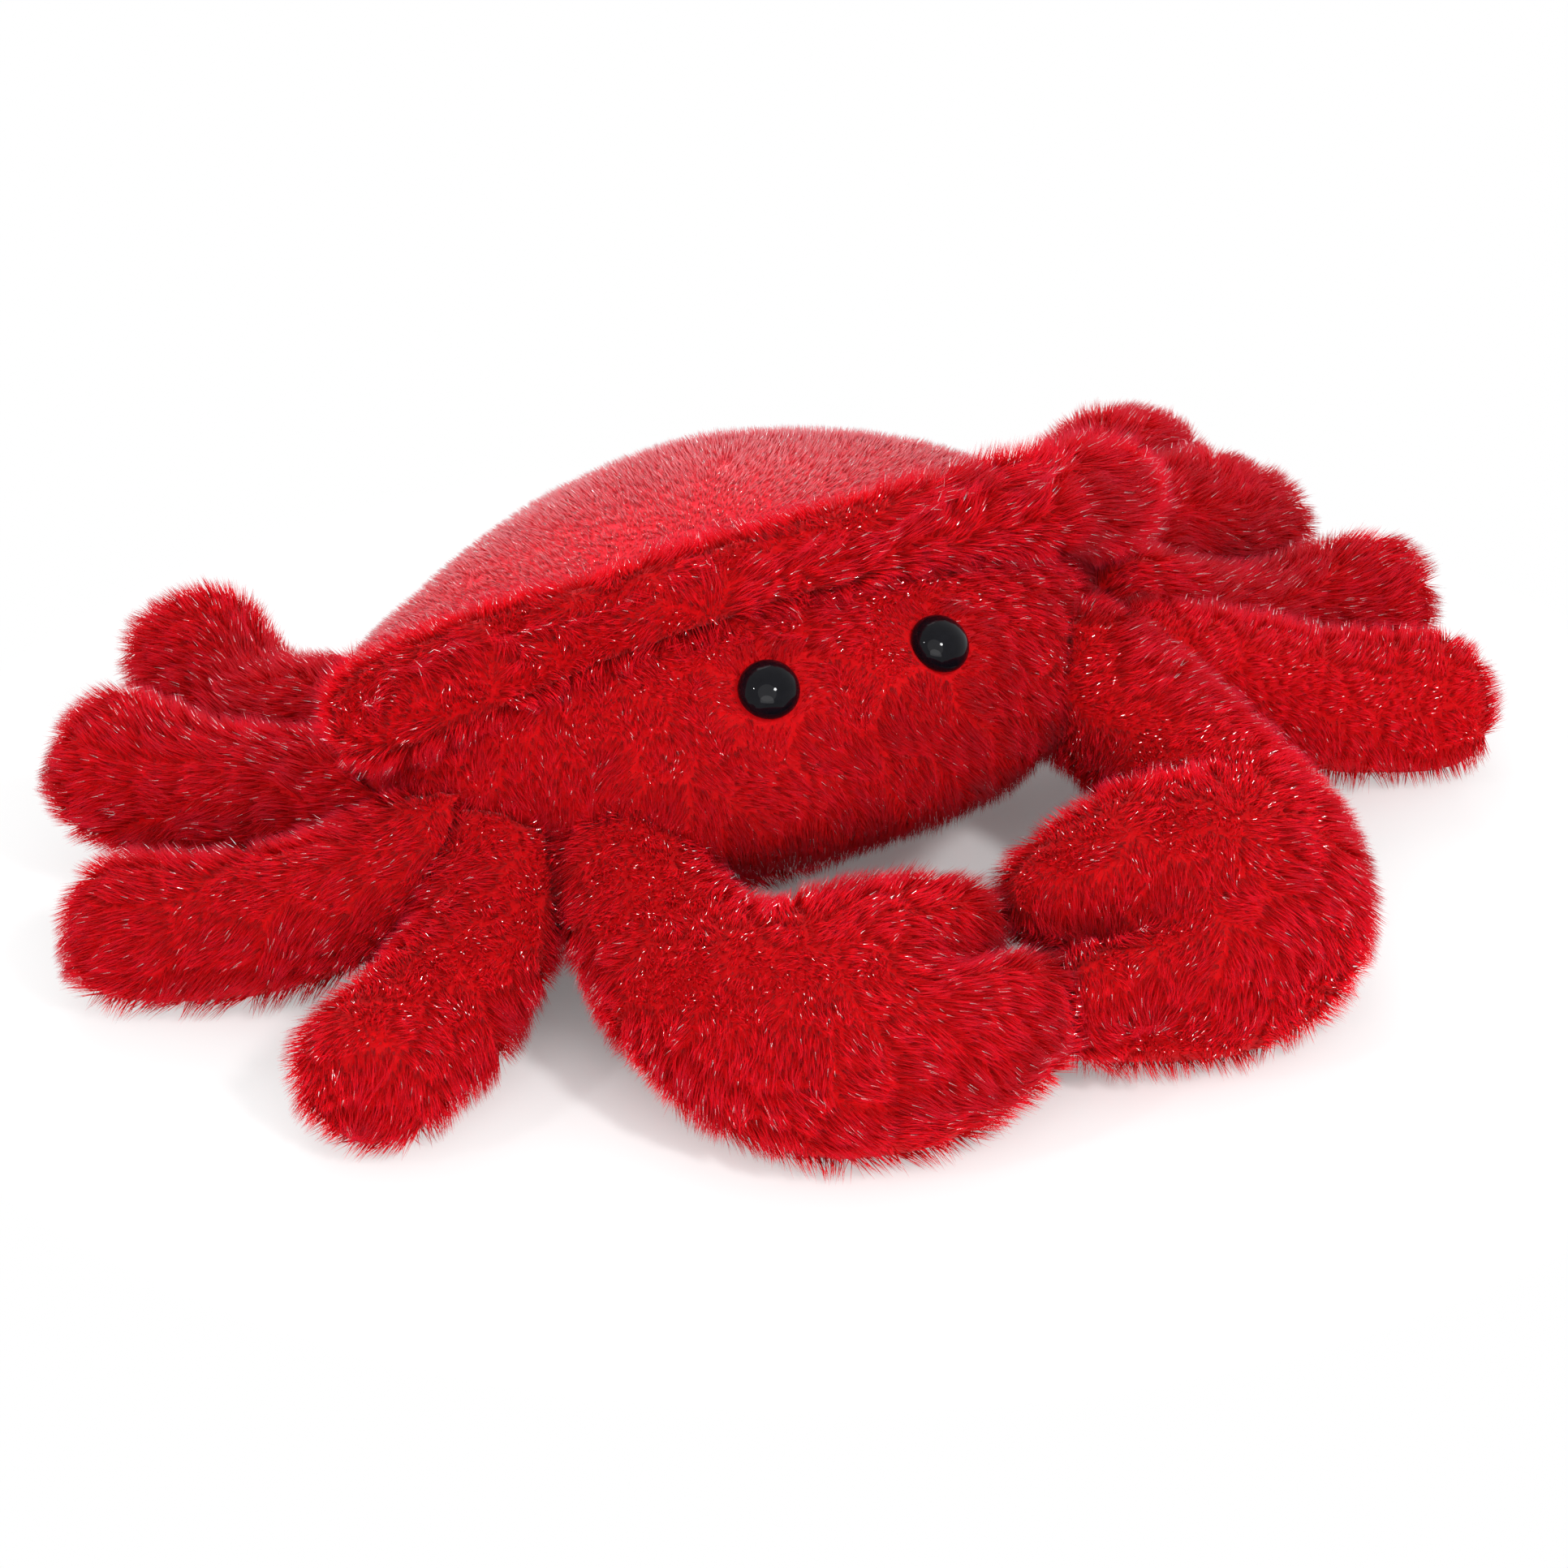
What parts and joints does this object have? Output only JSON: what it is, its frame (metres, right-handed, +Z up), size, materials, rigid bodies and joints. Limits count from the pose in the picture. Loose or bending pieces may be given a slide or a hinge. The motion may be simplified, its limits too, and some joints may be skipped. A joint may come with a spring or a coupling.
{
  "type": "plush crab",
  "caption": "Stuffed plush crab lying flat, with a domed back, a rolled brow, curved legs, padded pincers and round black eyes.",
  "frame": {"origin": "middle of the plan on the floor that the crab lies on", "axes": "+Z up, the crab looks along -Y, +X to its left and along its longest side"},
  "size_m": [0.2342, 0.1738, 0.067],
  "materials": {
    "long_pile": "long soft pile, combed down, with fine glinting fibres",
    "short_pile": "short dense pile with a pinkish sheen",
    "eye_plastic": "polished black",
    "washer_plastic": "moulded white"
  },
  "bodies": {
    "root": {"body": "long_pile", "shell": "short_pile", "shell_rim": "long_pile", "claw_right": "long_pile", "claw_left": "long_pile", "leg_right_1": "long_pile", "leg_right_2": "long_pile", "leg_right_3": "long_pile", "leg_right_4": "long_pile", "leg_left_1": "long_pile", "leg_left_2": "long_pile", "leg_left_3": "long_pile", "leg_left_4": "long_pile", "eye_right": "eye_plastic", "eye_left": "eye_plastic", "eye_washer_right": "washer_plastic", "eye_washer_left": "washer_plastic"}
  },
  "joints": []
}
